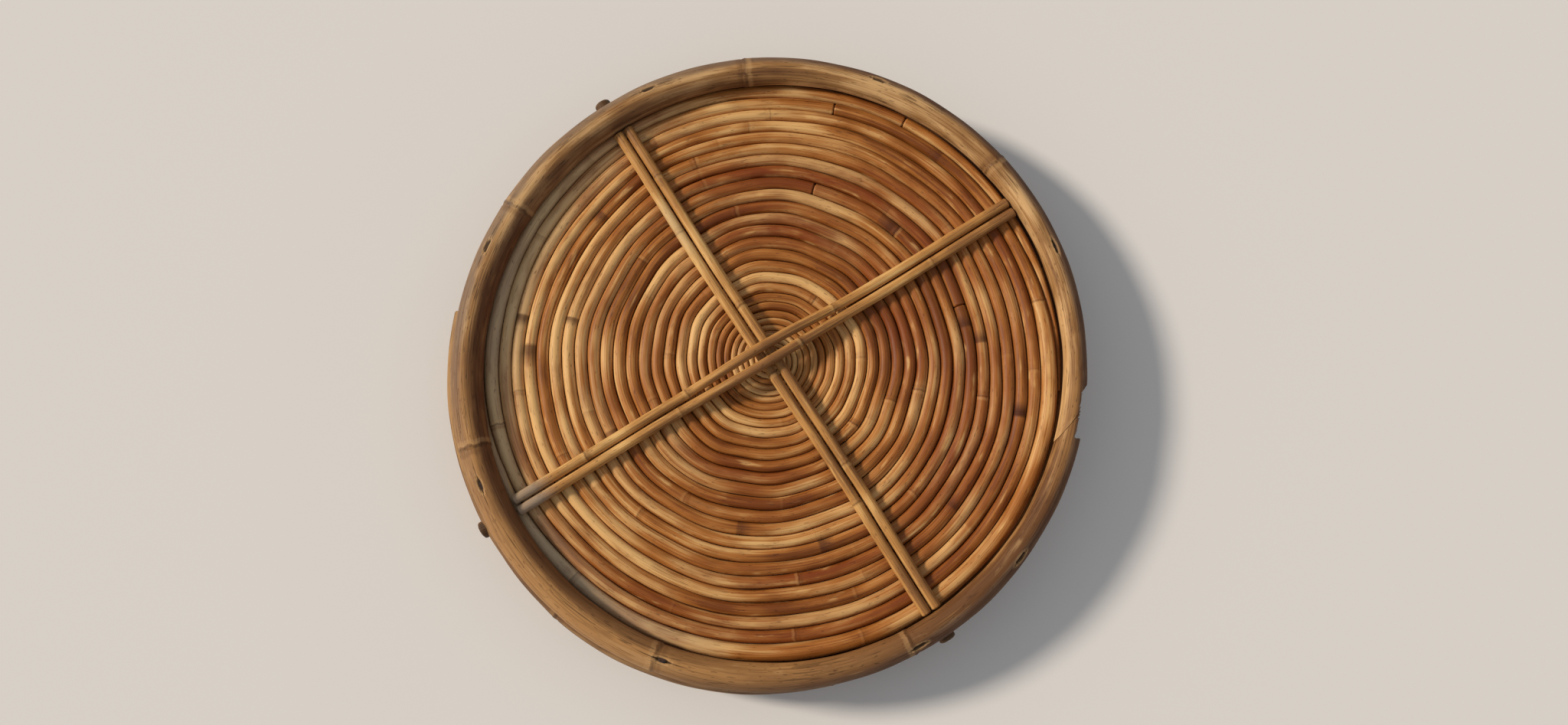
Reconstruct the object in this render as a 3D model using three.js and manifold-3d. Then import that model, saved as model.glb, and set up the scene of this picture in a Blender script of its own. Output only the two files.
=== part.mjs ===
// Round rattan tray: a flat coil of rattan core held in a rim of three stacked poles.
// Millimetres, +Z up, resting on z = 0, seen face up with its crossing rods as on a table.
import * as THREE from 'three';
import Module from 'manifold-3d';
import { mergeVertices } from 'three/addons/utils/BufferGeometryUtils.js';

const wasm = await Module();
wasm.setup();

// Driving sizes of the rim
const trayDiameter = 360;
const ovalShare = 0.0083;
const ovalAngle = 65.7;
const topPoleDiameter = 16.2;
const topPoleSwing = 2.1;
const topPoleThickAngle = 174;
const lowerPoleDiameter = 17;
const lowerBulge = 4.8;
const lowerBulgeAngle = 228;
const seatDepth = 0.5;
const touchGap = 0.3;

// Natural joints of the canes: a low swelling and the length that it takes
const jointSwell = 0.35;
const jointReach = 3.2;
const topJointAngles = [41.7, 94.9, 148.9, 196.8, 249.4, 296.2];
const middleJointAngles = [20, 71, 123, 230, 281, 333];
const bottomJointAngles = [5, 55, 108, 162, 213, 262, 318];

// Ends of the poles: a slanted cut in the top and bottom pole, a side lap in the middle one
const scarfReach = 14;
const topScarfAngle = 348.4;
const paredHalfAngle = 5;
const paredDepth = 4.3;
const bottomScarfAngle = 135;
const lapStartAngle = 170;
const lapEndAngle = 194;
const lapReleaseAngle = 22;
const lapFace = 1.5;
const lapStep = 6.2;

// Coil: two strands wound side by side, fine at the heart and full size further out
const coilTurns = 28.35;
const heartTurns = 0.6;
const heartPitch = 3.1;
const growthMiddleTurns = 9.6;
const growthSpreadTurns = 1.95;
const turnGap = 0.6;
const squeezedTurns = 0.42;
const coilShift = 2;
const coilShiftAngle = 88;
const strandAngle = 1;
const lengthGap = 0.6;
const firstSplitTurns = [0.17, 4.21];
const secondSplitTurns = [0.71, 3.54];

// Crossing rods over the coil, in two pairs
const rodDiameter = 5.8;
const pairSpacing = 6.6;
const pairSpread = 1.3;
const underPairAngle = 122.6;
const overPairAngle = 31.5;
const crossingX = -1.8;
const crossingY = 3.8;
const overRise = 60;
const rodEndGap = 0.5;
const rodJointReach = 2.4;
const rodJointSwell = 0.22;
const rodJointShares = [[-0.62, -0.07, 0.55], [-0.48, 0.2, 0.78], [-0.7, -0.3, 0.28], [-0.35, 0.12, 0.66]];

// Bearers under the coil, let through the middle pole
const bearerDiameter = 10;
const lowerBearerStart = 3.9;
const lowerBearerEnd = 10;
const upperBearerStart = 7.4;
const upperBearerEnd = 2;
const bearerDome = 1.6;
const holeClearance = 0.4;
const cutOverrun = 1;

// Nails down through the top pole
const nailAngles = [21.9, 69, 114.1, 158.1, 204.1, 250.8, 297.2, 321.2];
const nailSideShares = [0.27, 0.38, 0.29, 0.35, 0.18, 0, 0.55, 0.55];
const nailDiameter = 2.2;
const nailHeadDiameter = 4.4;
const nailHeadHeight = 0.9;
const nailSink = 0.6;
const nailGrip = 7;

// Facets
const topSides = 16;
const poleSides = 12;
const coilSides = 6;
const rodSides = 8;
const nailSides = 8;
const poleSteps = 48;
const coilSteps = 24;
const gapSamples = 8;
const settlePasses = 20;
const tangentNudge = 1e-3;

// Worked out from the driving sizes
const turn = 2 * Math.PI;
const lowerRadius = lowerPoleDiameter / 2;
const topRadiusMost = (topPoleDiameter + topPoleSwing) / 2;
const bearerRadius = bearerDiameter / 2;
const rodRadius = rodDiameter / 2;
const trayRadius = trayDiameter / 2;
const chordDip = trayRadius * (1 - Math.cos(Math.PI / poleSteps));
const bottomAxis = lowerRadius - seatDepth;
const middleAxis = bottomAxis + 2 * lowerRadius + touchGap;
const coilPlane = middleAxis + lowerRadius + touchGap / 2;
const topUnderside = coilPlane + touchGap / 2;

const up = new THREE.Vector3(0, 0, 1);
const radians = THREE.MathUtils.degToRad;

// Radius of a round at an angle, a little longer one way than across it
function oval(radius, angle) {
  return radius * (1 + ovalShare * Math.cos(2 * (angle - radians(ovalAngle))));
}

// Place at a distance from the middle of the tray
function ringPlace(reach, angle, height) {
  return new THREE.Vector3(reach * Math.cos(angle), reach * Math.sin(angle), height);
}

// How far the two lower poles bow out past the top one on one side of the tray
function bulge(angle) {
  return lowerBulge * Math.max(0, Math.cos(angle - radians(lowerBulgeAngle))) ** 2;
}

// Half thickness of the top pole, thicker on one side of the tray
function topPoleRadius(angle) {
  return (topPoleDiameter + topPoleSwing * Math.cos(angle - radians(topPoleThickAngle))) / 2;
}

// Distance of the poles' middle lines from the middle of the tray: flush outside, but for the bulge
function topReach(angle) {
  return oval(trayRadius, angle) - topPoleRadius(angle);
}

function lowerReach(angle) {
  return oval(trayRadius, angle) + bulge(angle) - lowerRadius;
}

// Merges the seams of a three.js shape so that it is one closed skin
function closedSkin(shape) {
  const skin = shape.index ? shape.toNonIndexed() : shape;
  skin.deleteAttribute('normal');
  skin.deleteAttribute('uv');
  return mergeVertices(skin, tangentNudge);
}

// Bends a straight round rod along a route. Each station is a place on the route; section takes a point of
// the unit circle there and gives its step to the side, its step upwards and where it lies on the route.
function layRod(sides, stations, route, section) {
  const rod = new THREE.CylinderGeometry(1, 1, 1, sides, stations.length - 1, false, Math.PI / sides);
  const points = rod.getAttribute('position');
  for (let i = 0; i < points.count; i += 1) {
    const k = Math.round((points.getY(i) + 1 / 2) * (stations.length - 1));
    const { side, rise, at } = section(points.getX(i), points.getZ(i), stations[k], k);
    const point = route(at);
    const along = route(at + tangentNudge).sub(route(at - tangentNudge)).normalize();
    const outward = new THREE.Vector3().crossVectors(along, up).normalize();
    const top = new THREE.Vector3().crossVectors(outward, along);
    point.addScaledVector(outward, side).addScaledVector(top, rise);
    points.setXYZ(i, point.x, point.y, point.z);
  }
  return closedSkin(rod);
}

// Evenly spaced stations, with three of their own at each natural joint
function stationsWith(start, end, steps, joints, reach) {
  const even = Array.from({ length: steps + 1 }, (_, i) => start + ((end - start) * i) / steps);
  const inside = joints.filter((joint) => joint - reach > start && joint + reach < end);
  const clear = even.filter((place, i) => i === 0 || i === steps
    || inside.every((joint) => Math.abs(place - joint) > 2 * reach));
  const marks = inside.flatMap((joint) => [joint - reach, joint, joint + reach]);
  return [...clear, ...marks].sort((a, b) => a - b);
}

// Extra girth of a cane at a place, next to its natural joints
function swellAt(place, joints, reach, swell) {
  return joints.some((joint) => Math.abs(place - joint) < reach / 2) ? swell : 0;
}

// Manifold solid of a closed skin, and back
function solidOf(skin) {
  const mesh = new wasm.Mesh({
    numProp: 3,
    vertProperties: new Float32Array(skin.getAttribute('position').array),
    triVerts: new Uint32Array(skin.index.array),
  });
  return new wasm.Manifold(mesh);
}

function skinOf(solid) {
  const { vertProperties, triVerts } = solid.getMesh();
  const skin = new THREE.BufferGeometry();
  skin.setAttribute('position', new THREE.BufferAttribute(vertProperties, 3));
  skin.setIndex(new THREE.BufferAttribute(triVerts, 1));
  return skin;
}

// Cuts the given skins out of a skin
function cutFrom(skin, cutters) {
  return skinOf(cutters.reduce((solid, cutter) => solid.subtract(solidOf(cutter)), solidOf(skin)));
}

// Angles of a pole's natural joints, unrolled so that they follow the pole from its first end
function jointsFrom(start, angles) {
  return angles.map((angle) => radians(start + ((angle - start + 720) % 360)));
}

// A pole bent to a ring whose two ends meet in a slanted cut, with their outer side pared away
function scarfedRing(sides, startAngle, joints, route, radiusAt, levels, pared) {
  const gapAngle = touchGap / trayRadius;
  const start = radians(startAngle) + gapAngle;
  const end = radians(startAngle) + turn - gapAngle;
  const reach = jointReach / trayRadius;
  const places = jointsFrom(startAngle, joints);
  const slant = scarfReach / trayRadius;
  const step = touchGap / trayRadius;
  const paredAngle = Math.max(radians(paredHalfAngle), slant + 2 * step);
  const steps = [start + paredAngle, end - paredAngle].flatMap((place) => [place - step, place + step]);
  const clear = stationsWith(start, end, poleSteps, places, reach).filter((place) => (
    place === start || place === end || (place > start + slant + step && place < end - slant - step)));
  const stations = [...clear, ...(pared > 0 ? steps : [])].sort((a, b) => a - b);
  const corner = 1 / Math.cos(Math.PI / sides);
  return layRod(sides, stations, route, (x, z, place, k) => {
    const radius = radiusAt(place);
    const full = (radius + swellAt(place, places, reach, jointSwell)) * corner;
    const cut = k === 0 || k === stations.length - 1;
    const fromEnd = Math.min(place - start, end - place);
    const side = fromEnd < paredAngle ? Math.min(x * full, radius - pared) : x * full;
    return {
      side,
      rise: THREE.MathUtils.clamp(z * full, ...levels(radius, full)),
      at: cut ? place + slant * (side / full) : place,
    };
  });
}

// Top pole: the rim that is seen, its underside level all the way round
function topPole() {
  const route = (angle) => ringPlace(topReach(angle), angle, topUnderside + topPoleRadius(angle));
  const levels = (radius, full) => [-radius, full];
  const ring = scarfedRing(topSides, topScarfAngle, topJointAngles, route, topPoleRadius, levels, paredDepth);
  return cutFrom(ring, nailAngles.map((angle, i) => rimNail(i, touchGap)));
}

// Bottom pole: the foot ring, flattened where the tray stands on it
function bottomPole() {
  const route = (angle) => ringPlace(lowerReach(angle), angle, bottomAxis);
  const levels = () => [-bottomAxis, lowerRadius];
  return scarfedRing(poleSides, bottomScarfAngle, bottomJointAngles, route, () => lowerRadius, levels, 0);
}

// Middle pole: its first end lies outside its last one in a side lap, and the bearers go through it
function middlePole() {
  const start = radians(lapStartAngle);
  const end = radians(lapEndAngle) + turn;
  const lapped = radians(lapEndAngle - lapStartAngle);
  const release = radians(lapReleaseAngle);
  const reach = jointReach / trayRadius;
  const places = jointsFrom(lapStartAngle, middleJointAngles);
  const even = stationsWith(start, end, poleSteps + Math.round(poleSteps * (lapped / turn)), places, reach);
  const stations = [...even, start + lapped, start + lapped + release, start + turn].sort((a, b) => a - b);
  const stepAt = (angle) => lapStep * THREE.MathUtils.clamp(1 - (angle - start) / (lapped + release), 0, 1);
  const route = (angle) => ringPlace(lowerReach(angle) + stepAt(angle), angle, middleAxis);
  const corner = 1 / Math.cos(Math.PI / poleSides);
  const ring = layRod(poleSides, stations, route, (x, z, place) => {
    const full = (lowerRadius + swellAt(place, places, reach, jointSwell)) * corner;
    const outer = place <= start + lapped + tangentNudge;
    const inner = place >= start + turn - tangentNudge;
    const least = outer ? lapFace + touchGap - stepAt(place) : -full;
    const most = inner ? lapFace : full;
    return {
      side: THREE.MathUtils.clamp(x * full, least, most),
      rise: THREE.MathUtils.clamp(z * full, -lowerRadius, lowerRadius),
      at: place,
    };
  });
  const nailHoles = nailAngles.map((angle, i) => rimNail(i, touchGap));
  return cutFrom(ring, [bearerHole(lowerBearer), bearerHole(upperBearer), ...nailHoles]);
}

// Groove between the top and the middle pole, in which the outermost turn of the coil sits: how far out the
// middle of a cane can lie there, seen from the middle of the coil
function grooveReach(angle, thickness) {
  const room = thickness / 2 + touchGap + chordDip;
  const radius = topPoleRadius(angle);
  const fromTop = radius / Math.cos(Math.PI / topSides) + room;
  const fromLower = lowerRadius / Math.cos(Math.PI / poleSides) + room;
  const reach = Math.min(
    topReach(angle) - Math.sqrt(fromTop ** 2 - radius ** 2),
    lowerReach(angle) - Math.sqrt(fromLower ** 2 - lowerRadius ** 2),
  );
  return reach - coilShift * Math.cos(angle - radians(coilShiftAngle));
}

function leastGroove(thickness) {
  const angles = Array.from({ length: poleSteps }, (_, i) => (turn * i) / poleSteps);
  return Math.min(...angles.map((angle) => grooveReach(angle, thickness)));
}

// Pitch from strand to strand where the coil is at full size, such that a strand just fits the groove
// once the turns in which the rim squeezes it are behind it
const coarsePitch = settledPitch();
const coilThickness = coarsePitch - turnGap;
const coilFloor = coilPlane - coilThickness / 2;
const coilMiddle = ringPlace(coilShift, radians(coilShiftAngle), 0);

function growth(turns) {
  return growthSpreadTurns * Math.log(1 + Math.exp((turns - growthMiddleTurns) / growthSpreadTurns));
}

function settledPitch() {
  const freeTurns = coilTurns - 2 * squeezedTurns;
  let pitch = lowerRadius;
  for (let pass = 0; pass < settlePasses; pass += 1) {
    pitch = heartPitch + (leastGroove(pitch - turnGap) - heartPitch * freeTurns) / growth(freeTurns);
  }
  return pitch;
}

// Half thickness of the unsqueezed cane, and reach of its middle, by the turns of both strands inside it
function caneRadius(turns) {
  const share = 1 / (1 + Math.exp((growthMiddleTurns - turns) / growthSpreadTurns));
  return (heartPitch + (coarsePitch - heartPitch) * share - turnGap) / 2;
}

function spiralReach(turns) {
  return heartPitch * turns + (coarsePitch - heartPitch) * growth(turns);
}

// One of the two strands, by its own turns from its outer end. Where the groove is narrower than the cane,
// the cane gets thinner and keeps its inner side against the strand inside it.
function strandFrom(startAngle) {
  const angleAt = (wound) => radians(startAngle) + turn * wound;
  const innerSide = (wound) => spiralReach(coilTurns - 2 * wound) - caneRadius(coilTurns - 2 * wound);
  const radiusAt = (wound) => {
    const outerMost = grooveReach(angleAt(wound), coilThickness) + coilThickness / 2;
    return Math.min(caneRadius(coilTurns - 2 * wound), (outerMost - innerSide(wound)) / 2);
  };
  const route = (wound) => {
    const height = coilFloor + caneRadius(coilTurns - 2 * wound);
    return ringPlace(innerSide(wound) + radiusAt(wound), angleAt(wound), height).add(coilMiddle);
  };
  return { radiusAt, route };
}

// Places along one length of a strand, between two counts of steps; a later length starts after a gap
function lengthStations(strand, from, to) {
  const places = Array.from({ length: to - from + 1 }, (_, i) => (from + i) / coilSteps);
  const start = strand.route(places[0]).sub(coilMiddle);
  places[0] += from > 0 ? lengthGap / (turn * Math.hypot(start.x, start.y)) : 0;
  return places;
}

// One length of rattan core in the coil
function coilLength(strand, stations) {
  const corner = 1 / Math.cos(Math.PI / coilSides);
  return layRod(coilSides, stations, strand.route, (x, z, place) => {
    const radius = strand.radiusAt(place);
    const turned = new THREE.Vector2(x, z).rotateAround(new THREE.Vector2(), Math.PI / coilSides);
    return { side: turned.x * radius * corner, rise: turned.y * radius, at: place };
  });
}

// Points along the outer (1) or inner (-1) side of a length, each with its place
function sidePoints(strand, stations, way) {
  const corners = stations.map((wound) => {
    const along = strand.route(wound + tangentNudge).sub(strand.route(wound - tangentNudge)).normalize();
    const outward = new THREE.Vector3().crossVectors(along, up).normalize();
    return strand.route(wound).addScaledVector(outward, way * strand.radiusAt(wound));
  });
  return corners.slice(1).flatMap((to, i) => Array.from({ length: gapSamples }, (_, k) => (
    { wound: stations[i], point: corners[i].clone().lerp(to, k / gapSamples) })));
}

// Least gap between two rows of points whose places lie at least so many turns apart
function leastGap(points, others, turnsApart) {
  const gapFrom = ({ wound, point }) => others.reduce((least, other) => (
    Math.abs(other.wound - wound) < turnsApart ? least : Math.min(least, point.distanceTo(other.point))
  ), Infinity);
  return Math.min(...points.map(gapFrom));
}

// Place on a straight diameter of the tray, turned by an angle and set off to one side
function linePlace(angle, offset, along, height) {
  const place = new THREE.Vector3(along, -offset, height);
  place.applyAxisAngle(up, radians(angle));
  return place.add(new THREE.Vector3(crossingX, crossingY, 0));
}

// Distance from the crossing to the inside of the top pole, both ways along a rod
function rodEnds(angle, offset) {
  return [-1, 1].map((way) => {
    let reach = trayRadius - topPoleDiameter;
    for (let pass = 0; pass < settlePasses; pass += 1) {
      const overruns = [-rodRadius, rodRadius].map((side) => {
        const corner = linePlace(angle, offset + side, way * reach, 0);
        const around = Math.atan2(corner.y, corner.x);
        return Math.hypot(corner.x, corner.y) - (topReach(around) - topPoleRadius(around) - rodEndGap);
      });
      reach -= Math.max(...overruns);
    }
    return way * reach;
  });
}

// A thin rod laid across the coil; the over rods bow up and apart where they cross the under ones
function crossRod(angle, offset, joints, bows) {
  const [start, end] = rodEnds(angle, offset);
  const base = coilPlane + coilThickness / 2 + touchGap + rodRadius;
  const rise = bows ? rodDiameter + touchGap + rodJointSwell : 0;
  const places = joints.map((share) => share * end);
  const steps = bows ? 16 : 4;
  const stations = stationsWith(start, end, steps, places, rodJointReach);
  const route = (along) => {
    const near = THREE.MathUtils.clamp(1 - Math.abs(along) / overRise, 0, 1);
    const share = THREE.MathUtils.smoothstep(near, 0, 1);
    const apart = bows ? Math.sign(offset) * pairSpread * share : 0;
    return linePlace(angle, offset + apart, along, base + rise * share);
  };
  return layRod(rodSides, stations, route, (x, z, place) => {
    const full = rodRadius + swellAt(place, places, rodJointReach, rodJointSwell);
    return { side: x * full, rise: Math.max(z * full, -rodRadius), at: place };
  });
}

// Level of the bearers' middle, just under the coil
const bearerAxis = coilFloor - touchGap - bearerRadius;

// Bearers, each with what it stands out beyond the round of the tray at its two ends
const lowerBearer = { angle: underPairAngle, start: lowerBearerStart, end: lowerBearerEnd };
const upperBearer = { angle: overPairAngle, start: upperBearerStart, end: upperBearerEnd };

// A round bar along a bearer, with a dome on each end, let out by an overrun
function bar(ends, radius, overrun) {
  const angle = radians(ends.angle);
  const aside = crossingX * Math.cos(angle) + crossingY * Math.sin(angle);
  const start = -oval(trayRadius, angle + Math.PI) - ends.start - aside - overrun;
  const end = oval(trayRadius, angle) + ends.end - aside + overrun;
  const outline = [
    new THREE.Vector2(0, start),
    new THREE.Vector2(radius - bearerDome, start),
    new THREE.Vector2(radius, start + bearerDome),
    new THREE.Vector2(radius, end - bearerDome),
    new THREE.Vector2(radius - bearerDome, end),
    new THREE.Vector2(0, end),
  ];
  const shape = new THREE.LatheGeometry(outline, poleSides, Math.PI / poleSides);
  shape.rotateZ(angle - Math.PI / 2);
  shape.translate(crossingX, crossingY, bearerAxis);
  return closedSkin(shape);
}

// Hole for a bearer, right through the middle pole on both sides
function bearerHole(ends) {
  return bar(ends, bearerRadius + holeClearance, cutOverrun);
}

// Bearer with half of its thickness cut away at the crossing, from above or from below
function bearer(ends, crossingAngle, halfAbove) {
  const width = bearerDiameter + 2 * touchGap;
  const notch = new THREE.BoxGeometry(width, bearerDiameter * 2, bearerDiameter);
  const level = halfAbove ? -bearerRadius + touchGap / 2 : bearerRadius - touchGap / 2;
  notch.rotateZ(radians(crossingAngle) + Math.PI / 2);
  notch.translate(crossingX, crossingY, bearerAxis + level);
  return cutFrom(bar(ends, bearerRadius, 0), [closedSkin(notch)]);
}

// Rim nail turned about its own axis, its head sunk below the pole's skin; or its hole, wider by a clearance
// and open at the top
function rimNail(index, clearance) {
  const angle = radians(nailAngles[index]);
  const radius = topPoleRadius(angle);
  const aside = radius * nailSideShares[index];
  const middle = ringPlace(topReach(angle) + aside, angle, 0);
  const axis = topUnderside + radius;
  const crown = axis + Math.sqrt(radius ** 2 - (aside + nailHeadDiameter / 2) ** 2) - nailSink;
  const top = clearance > 0 ? axis + radius + cutOverrun : crown;
  const tip = topUnderside - nailGrip - clearance;
  const shank = nailDiameter / 2 + clearance;
  const head = nailHeadDiameter / 2 + clearance;
  const outline = [
    new THREE.Vector2(0, tip),
    new THREE.Vector2(shank, tip),
    new THREE.Vector2(shank, crown - nailHeadHeight - clearance),
    new THREE.Vector2(head, crown - nailHeadHeight - clearance),
    new THREE.Vector2(head, top),
    new THREE.Vector2(0, top),
  ];
  const shape = new THREE.LatheGeometry(outline, nailSides);
  shape.rotateX(Math.PI / 2);
  shape.translate(middle.x, middle.y, 0);
  return closedSkin(shape);
}

// Finishes seen in the photograph
const finishes = {
  paleCane: new THREE.MeshStandardMaterial({ color: 0xb98d57, roughness: 0.55, metalness: 0 }),
  honeyCane: new THREE.MeshStandardMaterial({ color: 0xa8703a, roughness: 0.5, metalness: 0 }),
  darkCane: new THREE.MeshStandardMaterial({ color: 0x94602f, roughness: 0.55, metalness: 0 }),
  strawRod: new THREE.MeshStandardMaterial({ color: 0xc0954f, roughness: 0.5, metalness: 0 }),
  steel: new THREE.MeshStandardMaterial({ color: 0x3d2f26, roughness: 0.6, metalness: 0.7 }),
};

const tray = new THREE.Group();

function place(name, skin, finish) {
  const piece = new THREE.Mesh(skin, finish);
  piece.name = name;
  tray.add(piece);
}

place('rim_pole_top', topPole(), finishes.paleCane);
place('rim_pole_middle', middlePole(), finishes.darkCane);
place('rim_pole_bottom', bottomPole(), finishes.darkCane);

const innerEnd = Math.round(((coilTurns - heartTurns) / 2) * coilSteps);
const strands = [
  { name: 'coil_first', strand: strandFrom(strandAngle), splits: firstSplitTurns },
  { name: 'coil_second', strand: strandFrom(strandAngle + 180), splits: secondSplitTurns },
];
const lengthNames = ['end', 'outer', 'inner'];
strands.forEach(({ name, strand, splits }) => {
  const cuts = [0, ...splits.map((turns) => Math.round(turns * coilSteps)), innerEnd];
  lengthNames.forEach((part, i) => {
    const stations = lengthStations(strand, cuts[i], cuts[i + 1]);
    place(`${name}_${part}`, coilLength(strand, stations), i === 1 ? finishes.darkCane : finishes.honeyCane);
    if (cuts[i + 1] - cuts[i] > coilSteps) {
      const gap = leastGap(sidePoints(strand, stations, 1), sidePoints(strand, stations, -1), 1 / 2);
      console.log(`${name}_${part}: least gap to itself ${gap.toFixed(2)} mm`);
    }
  });
});
const whole = strands.map(({ strand }) => ({ strand, stations: lengthStations(strand, 0, innerEnd) }));
[1, -1].forEach((way) => {
  const [first, second] = whole.map(({ strand, stations }, i) => (
    sidePoints(strand, stations, i === 0 ? way : -way)));
  console.log(`between the strands: least gap ${leastGap(first, second, 0).toFixed(2)} mm`);
});

const pairs = [
  { name: 'under_rod', angle: underPairAngle, bows: false },
  { name: 'over_rod', angle: overPairAngle, bows: true },
];
pairs.forEach((pair, i) => {
  [-1, 1].forEach((way, j) => {
    const joints = rodJointShares[2 * i + j];
    const rod = crossRod(pair.angle, (way * pairSpacing) / 2, joints, pair.bows);
    place(`${pair.name}_${j + 1}`, rod, finishes.strawRod);
  });
});

place('bearer_lower', bearer(lowerBearer, overPairAngle, false), finishes.darkCane);
place('bearer_upper', bearer(upperBearer, underPairAngle, true), finishes.darkCane);
nailAngles.forEach((angle, i) => {
  place(`rim_nail_${i + 1}`, rimNail(i, 0), finishes.steel);
});

// The origin is the middle of the footprint, on the surface that the tray stands on
const box = new THREE.Box3().setFromObject(tray);
const middle = box.getCenter(new THREE.Vector3());
tray.children.forEach((piece) => piece.position.set(-middle.x, -middle.y, 0));

export default tray;
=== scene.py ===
"""Round rattan tray: the dressed model of a flat coil of cane held in a rim of three stacked poles."""
import logging
import math
import random
from collections.abc import Callable, Sequence
from dataclasses import dataclass, field
from enum import Enum

import bmesh
import bpy
from mathutils import Matrix, Vector


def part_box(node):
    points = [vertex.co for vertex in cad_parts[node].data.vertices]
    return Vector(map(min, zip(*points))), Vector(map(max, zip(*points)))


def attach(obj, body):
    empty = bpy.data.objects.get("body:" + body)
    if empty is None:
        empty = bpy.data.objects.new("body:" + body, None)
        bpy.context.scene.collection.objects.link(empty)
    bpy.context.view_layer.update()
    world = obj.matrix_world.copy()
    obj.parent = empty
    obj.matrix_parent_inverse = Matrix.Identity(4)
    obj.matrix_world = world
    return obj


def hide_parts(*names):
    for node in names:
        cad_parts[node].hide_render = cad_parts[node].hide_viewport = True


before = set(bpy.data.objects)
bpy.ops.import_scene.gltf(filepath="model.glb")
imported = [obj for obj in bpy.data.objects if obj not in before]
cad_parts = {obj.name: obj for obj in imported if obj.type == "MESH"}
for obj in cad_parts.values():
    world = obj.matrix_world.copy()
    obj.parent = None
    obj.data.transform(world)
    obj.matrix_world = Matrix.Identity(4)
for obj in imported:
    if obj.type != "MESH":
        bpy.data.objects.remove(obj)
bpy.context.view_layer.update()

LOG = logging.getLogger("rattan_tray")
FULL_TURN = 2 * math.pi
UP = Vector((0.0, 0.0, 1.0))


def held(value: float) -> float:
    """Hold a value between 0 and 1."""
    return min(max(value, 0.0), 1.0)


def towards(angle: float, degrees: float) -> float:
    """Cosine of the turn between an angle in radians and a direction in degrees."""
    return math.cos(angle - math.radians(degrees))


def placed(name: str, bm: bmesh.types.BMesh, material: bpy.types.Material) -> bpy.types.Object:
    """Turn a finished mesh into an object of the scene.

    Args:
        name: Name of the object and its mesh.
        bm: The mesh, used up by the call.
        material: What it wears.

    Returns:
        The new object, at the origin.
    """
    mesh = bpy.data.meshes.new(name)
    bm.to_mesh(mesh)
    bm.free()
    piece = bpy.data.objects.new(mesh.name, mesh)
    bpy.context.scene.collection.objects.link(piece)
    mesh.materials.append(material)
    return piece


# Shader maths


def linear(hex_colour: str) -> tuple[float, float, float, float]:
    """Turn a written colour such as "b98d57" into the linear values that a shader takes.

    Args:
        hex_colour: Six hexadecimal digits, red first.

    Returns:
        Red, green, blue and an alpha of 1.
    """
    parts = [int(hex_colour[i:i + 2], 16) / 255 for i in (0, 2, 4)]
    red, green, blue = (p / 12.92 if p <= 0.04045 else ((p + 0.055) / 1.055) ** 2.4 for p in parts)
    return red, green, blue, 1.0


class Signal:
    """A number that varies over a surface, with the operators that the finishes use."""

    def __init__(self, graph: "Graph", socket: bpy.types.NodeSocket) -> None:
        """Wrap the output socket of a node of a graph."""
        self.graph = graph
        self.socket = socket

    def __add__(self, other: "Signal | float") -> "Signal":
        """Sum."""
        return self.graph.maths("ADD", self, other)

    def __sub__(self, other: "Signal | float") -> "Signal":
        """Difference."""
        return self.graph.maths("SUBTRACT", self, other)

    def __rsub__(self, other: float) -> "Signal":
        """Difference from a plain number."""
        return self.graph.maths("SUBTRACT", other, self)

    def __mul__(self, other: "Signal | float") -> "Signal":
        """Product."""
        return self.graph.maths("MULTIPLY", self, other)

    def __truediv__(self, other: "Signal | float") -> "Signal":
        """Quotient."""
        return self.graph.maths("DIVIDE", self, other)

    def __abs__(self) -> "Signal":
        """Size without sign."""
        return self.graph.maths("ABSOLUTE", self)

    __radd__ = __add__
    __rmul__ = __mul__

    def between(self, low: float, high: float) -> "Signal":
        """Go smoothly from 0 at low to 1 at high, or the other way round where high is the lower one."""
        step = self.graph.node(
            "ShaderNodeMapRange",
            {"interpolation_type": "SMOOTHSTEP"},
            {0: self, 1: min(low, high), 2: max(low, high), 3: float(low > high), 4: float(low <= high)},
        )
        return Signal(self.graph, step.outputs[0])


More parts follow.
